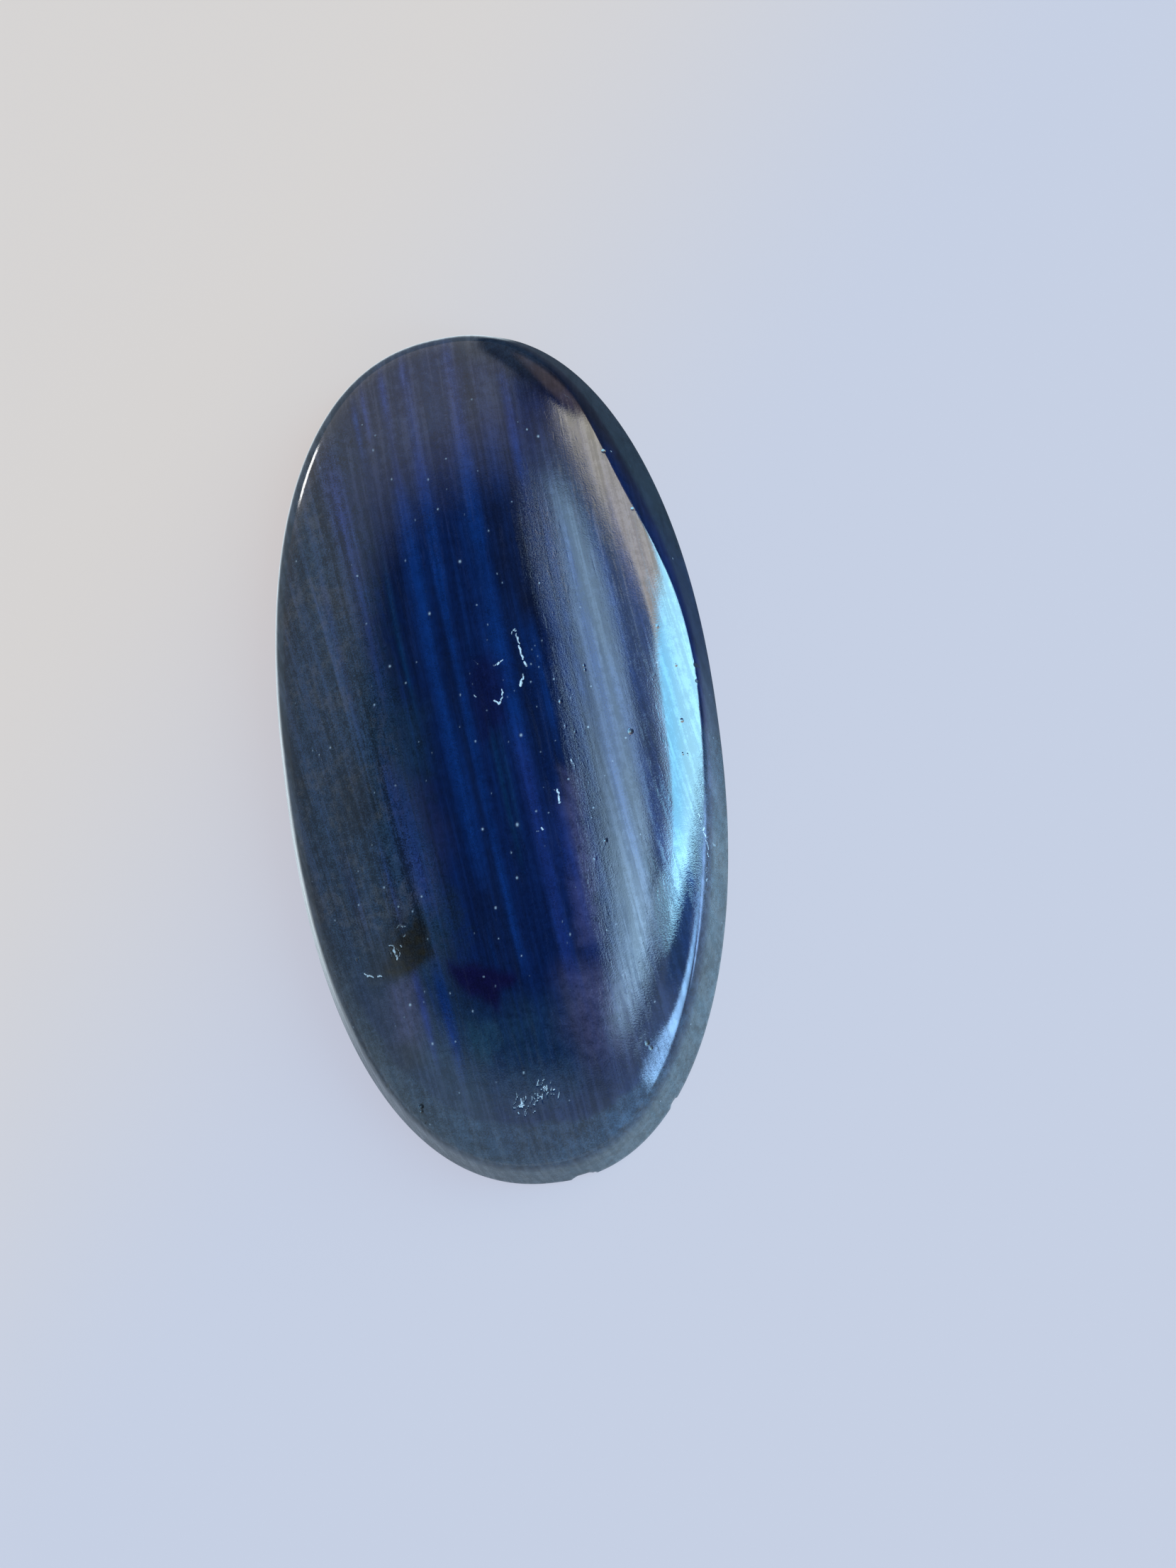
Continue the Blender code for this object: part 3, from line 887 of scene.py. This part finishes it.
def stone_finish(look):
    """Dark feldspar with blue lamellae under a hand polish."""
    material = bpy.data.materials.new("labradorite")
    material.use_nodes = True
    recipe = Recipe(material.node_tree)
    rise, noise = recipe.rise, recipe.noise
    place = recipe.scaled(recipe.node("ShaderNodeTexCoord", output="Object"), 1.0 / MM)
    x, y, z = recipe.split(place)
    layer = lamella(x, y)
    broad = noise(recipe.joined(layer, y * 0.035, z * 0.2), 1.1, 3.0, 0.55)
    fine = noise(recipe.joined(layer, y * 0.022, z * 0.1), 3.4, 5.0, 0.62)
    patch = noise(place, 0.38, 4.0, 0.6)
    mottle = noise(place, 2.0, 5.0, 0.68)
    speckle = noise(place, 12.0, 2.0, 0.6)
    ragged = noise(place, 15.0, 2.0, 0.7)
    wall = 1.0 - rise(z, 2.8, 0.4)
    chalk, pit, speck = recipe.mask("flaws")
    scuff = recipe.mask("scuffs")[0]
    white = rise(chalk + (ragged - 0.5) * 0.9, 0.52, 0.2)
    dark = rise(pit, 0.5, 0.35)
    cells = recipe.node("ShaderNodeTexVoronoi", inputs={"Vector": place, "Scale": 0.85})
    chance = recipe.split(Wire(recipe.tree, cells.socket.node.outputs["Color"]))[0]
    colour = recipe.layered(
        body_colour(recipe, look, x, y, layer, wall, (broad, fine, patch, mottle, speckle)),
        (rise(cells, 0.045, -0.025) * rise(chance, 0.55, 0.3) * 0.45, look.dust),
        (speck * 0.9, look.dust),
        (white * 0.9, look.chalk),
        (dark * 0.8, look.pit),
    )

    back = 1.0 - rise(z, 0.1, 0.08)
    worn = scuff * rise(speckle, 0.52, 0.08)
    grain = noise(recipe.joined(layer, y * 0.07, z * 0.3), 4.5, 4.0, 0.65)
    hazy = rise(grain + (speckle - 0.5) * 0.4, 0.58, 0.08) * (1.0 - wall)
    sheen = rise(fine + (mottle - 0.5) * 0.5 + (speckle - 0.5) * 0.3, 0.52, 0.1) * 0.35
    roughness = POLISH_ROUGHNESS + white * 0.35 + dark * 0.3 + worn * 0.3
    roughness = roughness + wall * 0.15 + back * 0.25 + hazy * 0.1

    # The heights of the polish's marks in microns, more where it is scuffed
    dashes = rise(noise(recipe.joined(layer, y * 0.3, z), 3.2, 2.0, 0.6), 0.64, 0.06)
    ripple = noise(place, 0.5, 1.0, 0.5)
    ground = noise(recipe.joined(x * 0.25, y * 0.25, z * 6.0), 2.0, 4.0, 0.7) * wall
    height = grain * (1.4 + scuff * 8.0) + speckle * (1.6 + scuff * 12.0) - dashes * (0.6 + scuff * 4.0)
    height = height + ripple * 6.0 + ground * 10.0
    normal = recipe.node("ShaderNodeBump", inputs={"Height": height * MICRON, "Distance": 1.0})
    recipe.surface({
        "Base Color": colour,
        "Roughness": roughness,
        "IOR": 1.56,
        "Specular IOR Level": 0.45,
        "Coat Weight": sheen,
        "Coat Roughness": 0.06,
        "Normal": normal,
    })
    return material


class STONE_OT_polish(bpy.types.Operator):
    """Make the polished stone in place of its faceted solid"""

    bl_idname = "labradorite.polish_stone"
    bl_label = "Polish stone"

    def execute(self, context):
        shape = context.scene.stone_shape
        form, middle = ground_stone(shape)
        strokes = crack_strokes()
        refine(form, shape, middle, strokes)
        press_pits(form, strokes)
        chip_edge(form, shape, middle)
        mesh = bpy.data.meshes.new("polished_stone")
        form.to_mesh(mesh)
        form.free()
        mesh.shade_smooth()
        paint_masks(mesh, strokes)
        mesh.materials.append(stone_finish(context.scene.stone_look))
        stone = bpy.data.objects.new("polished_labradorite", mesh)
        context.scene.collection.objects.link(stone)
        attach(stone, "root")
        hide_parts(SOLID_NODE)
        return {"FINISHED"}


def window_layers(recipe, x, y, z):
    """The pale wall past the tall window's top, the two pale edges of the glass, and the glass."""
    rise = recipe.rise
    top = (y - 0.37 * x - 0.045).no_more_than(0.885 - x)
    side = x - 0.55 * y.no_more_than(0.12)
    wall = rise(top, 0.012, 0.012) * rise(y - 0.33 * x, 0.49, -0.02)
    wall = wall * rise(y + 0.84 * x, 0.703, 0.026) * rise(z, 0.2, 0.06)
    fringe = rise(y, 0.12, 0.05) * rise(top, 0.018, -0.018) * rise(side, 0.41, 0.01)
    lower = rise(y - 0.09 * x - 0.05 * rise(x, 0.96, 0.03), -0.093, 0.02)
    opening = lower * rise(top, 0.0, -0.012)
    glass = recipe.mix(rise(x, 0.75, 0.2), (4.8, 13.2, 19.5), (7.2, 15.0, 19.0))
    return (
        (wall, (5.7, 5.4, 4.3)),
        (fringe, (6.0, 8.5, 9.5)),
        (opening * rise(y, 0.02, 0.05) * rise(side, 0.408, 0.012), (4.2, 5.6, 7.8)),
        (
            opening * rise(side, 0.426, 0.01),
            recipe.mix(rise(y, 0.02, -0.07), glass, (12.0, 24.5, 32.0)),
        ),
    )


def soft_light(world, settings):
    """A soft room: a tall window on the right, a pale wall beside it, a dim ceiling and grey walls.
    The azimuth is in degrees. Each part's three numbers say how brightly it shows in the polish."""
    world.use_nodes = True
    recipe = Recipe(world.node_tree)
    rise, band = recipe.rise, recipe.band
    x, y, z = recipe.split(recipe.node("ShaderNodeTexCoord", output="Generated"))
    azimuth = y.maths("ARCTAN2", y, x) * math.degrees(1.0)
    west = recipe.layered(
        (0.7, 0.95, 1.15),
        (rise(y, -0.12, 0.16), (0.34, 0.42, 0.55)),
        (rise(y, 0.3, 0.2), (0.58, 0.6, 0.64)),
    )
    gap = band(azimuth, -19.0, 0.0, 4.0) * band(z, 0.33, 0.88, 0.06)
    corner = rise(y, 0.54, 0.06) * rise(x, 0.04, 0.06)
    blush = band(x, 0.3, 0.75, 0.08) * rise(y, 0.66, 0.05) * rise(z, 0.15, 0.1)
    oval = recipe.reach(x, y, (-0.08, 0.135), (0.5, 0.385))
    ceiling = rise(oval, 1.0, -0.1 - 0.08 * rise(y, 0.4, 0.1))
    pool = recipe.reach(x, y, (0.0, 0.15), (0.399, 0.365))
    verge = x + 0.4 * (y - 0.22).no_less_than(0.0) - 0.6 * (y + 0.04).no_more_than(0.0)
    veil = rise(verge, 0.242, 0.085) * rise(pool, 1.0, -0.04) * rise(y, 0.475, -0.025)
    pane_top = z + 0.0145 * azimuth - 0.14 * rise(azimuth, -26.0, -6.0)
    pane = band(azimuth, -41.0, 3.0, 3.0) * rise(pane_top, 0.07, -0.06)
    glint = band(azimuth, 140.0, 147.5, 1.0) * rise(z, 0.12, -0.02)
    colour = recipe.layered(
        (0.75, 1.02, 1.3),
        (rise(x, 0.35, 0.25), (0.8, 1.2, 1.8)),
        (gap, (0.3, 0.6, 1.1)),
        (rise(x, -0.42, -0.22), west),
        (rise(y, 0.5, 0.1), (1.0, 1.0, 1.05)),
        (corner, (0.12, 0.1, 0.08)),
        (blush, (0.75, 0.58, 0.52)),
        (ceiling, (0.04, 0.04, 0.05)),
        (veil, recipe.mix(rise(y, 0.0, 0.16), (6.5, 10.5, 14.4), (2.9, 4.5, 6.0))),
        *window_layers(recipe, x, y, z),
        (
            pane * (0.3 + rise(z, 0.14, 0.12) * 0.7),
            recipe.mix(rise(azimuth, -18.0, 8.0), (6.0, 11.2, 18.5), (4.6, 9.2, 15.5)),
        ),
        (glint, (16.0, 16.0, 16.0)),
        (rise(z, 0.0, -0.01), (0.5, 0.5, 0.5)),
        (recipe.node("ShaderNodeLightPath", output="Is Camera Ray"), settings.backdrop),
    )
    background = recipe.node("ShaderNodeBackground", inputs={"Color": colour, "Strength": 1.0})
    recipe.node("ShaderNodeOutputWorld", inputs={"Surface": background})


def table_finish(settings):
    """A pale table that glows a little, warmer at the upper left, so the stone's shadow stays soft.
    What the polish mirrors of it is painted light and shade: contact shade close to the stone, shade under the
    stone's upper right and bright patches at its right."""
    material = bpy.data.materials.new("pale_table")
    material.use_nodes = True
    recipe = Recipe(material.node_tree)
    rise, band = recipe.rise, recipe.band
    x, y, z = recipe.split(recipe.node("ShaderNodeTexCoord", output="Object"))
    mirrored = recipe.node("ShaderNodeLightPath", output="Is Glossy Ray")
    cooler = rise(x * 6.6 - y * 6.0, -0.11, 0.16)
    # Painted contact shade: close to the stone the mirrored table is darker at the foot and the right, lighter
    # at the left
    close = rise(recipe.reach(x, y, (0.0, 0.0), (HALF_WIDTH, HALF_LENGTH)), 1.25, -0.2)
    foot = rise(x, 0.003, 0.003) * rise(y, -0.006, -0.003) * close
    # Painted highlight: a bright stripe that the right wall mirrors
    stripe = band(x, 0.0136, 0.0152, 0.0006) * band(y, -0.006, 0.012, 0.003)
    # Painted shade: the dim zone under the stone's upper right, also nearly black in the table's colour for
    # glossy rays
    dim = rise(x * 350.0 + y * 900.0, 3.0, 7.0) * rise(x, 0.0035, 0.001)
    # Painted highlights: the lit patch and the bar are bright places that only the polish sees
    lit = rise(x, 0.032, 0.006) * rise(x * 0.5 - y, 0.0, 0.004) * rise(y + x * 0.3, 0.0, 0.004)
    bar = rise(x, 0.019, 0.003) * band(y, -0.018, -0.005, 0.002)
    mirrored_painted_light = recipe.layered(
        (0.4, 0.47, 0.55),
        (rise(y, -0.03, -0.008), (0.75, 0.95, 1.15)),
        (close, recipe.mix(rise(x * 1.4 - y, -0.005, 0.008), (0.9, 1.05, 1.15), (0.3, 0.36, 0.45))),
        (foot, (0.5, 0.62, 0.75)),
        (stripe, (0.7, 0.95, 1.6)),
        (dim, (0.05, 0.06, 0.085)),
        (lit, recipe.mix(rise(y - x * 0.18, 0.0, 0.003), (1.6, 2.4, 3.6), (4.5, 9.0, 11.5))),
        (bar, (3.4, 6.0, 10.5)),
    )
    glow = recipe.layered(settings.table_warm, (cooler, settings.table_cool), (mirrored, mirrored_painted_light))
    recipe.surface({
        "Base Color": recipe.mix(dim * mirrored, settings.table_colour, (0.005, 0.005, 0.005)),
        "Roughness": 0.7,
        "Specular IOR Level": 0.0,
        "Emission Color": glow,
        "Emission Strength": 1.0,
    })
    return material


def table_top(context, settings):
    """The round table under the stone."""
    form = bmesh.new()
    bmesh.ops.create_circle(form, cap_ends=True, radius=settings.table_radius, segments=128)
    mesh = bpy.data.meshes.new("table_top")
    form.to_mesh(mesh)
    form.free()
    mesh.materials.append(table_finish(settings))
    table = bpy.data.objects.new("table_top", mesh)
    context.scene.collection.objects.link(table)


def photo_camera(context, settings):
    """The camera stands over the stone, a little right of it and toward its foot."""
    back = Vector((math.tan(settings.tilt_right), -math.tan(settings.tilt_down), 1.0)).normalized()
    right = Vector((0.0, 1.0, 0.0)).cross(back).normalized()
    up = back.cross(right)
    turn = Matrix.Rotation(settings.roll, 3, back)
    right = turn @ right
    up = turn @ up
    look = Vector((settings.look_across, settings.look_along, 0.0))
    data = bpy.data.cameras.new("camera")
    data.lens = settings.lens
    data.sensor_width = 36.0
    data.clip_start = 0.01
    camera = bpy.data.objects.new("camera", data)
    context.scene.collection.objects.link(camera)
    axes = Matrix((right, up, back)).transposed().to_4x4()
    camera.matrix_world = Matrix.Translation(look + back * settings.distance) @ axes
    context.scene.camera = camera


class STONE_OT_stage(bpy.types.Operator):
    """Set the table, the soft light and the camera"""

    bl_idname = "labradorite.set_stage"
    bl_label = "Set stage"

    def execute(self, context):
        settings = context.scene.stone_stage
        table_top(context, settings)
        world = bpy.data.worlds.new("soft_light")
        context.scene.world = world
        soft_light(world, settings)
        photo_camera(context, settings)
        context.scene.view_settings.view_transform = "Standard"
        return {"FINISHED"}


class STONE_PT_panel(bpy.types.Panel):
    """All settings and the two steps"""

    bl_label = "Labradorite"
    bl_idname = "STONE_PT_panel"
    bl_space_type = "VIEW_3D"
    bl_region_type = "UI"
    bl_category = "Labradorite"

    def draw(self, context):
        layout = self.layout
        for group in (context.scene.stone_shape, context.scene.stone_look, context.scene.stone_stage):
            box = layout.box()
            for name in group.__annotations__:
                box.prop(group, name)
        layout.operator("labradorite.polish_stone")
        layout.operator("labradorite.set_stage")


CLASSES = (StoneShape, StoneLook, StageSettings, STONE_OT_polish, STONE_OT_stage, STONE_PT_panel)


def register():
    for item in CLASSES:
        bpy.utils.register_class(item)
    bpy.types.Scene.stone_shape = PointerProperty(type=StoneShape)
    bpy.types.Scene.stone_look = PointerProperty(type=StoneLook)
    bpy.types.Scene.stone_stage = PointerProperty(type=StageSettings)


def unregister():
    del bpy.types.Scene.stone_stage
    del bpy.types.Scene.stone_look
    del bpy.types.Scene.stone_shape
    for item in reversed(CLASSES):
        bpy.utils.unregister_class(item)


def main():
    register()
    bpy.ops.labradorite.polish_stone()
    bpy.ops.labradorite.set_stage()


if __name__ == "__main__":
    main()
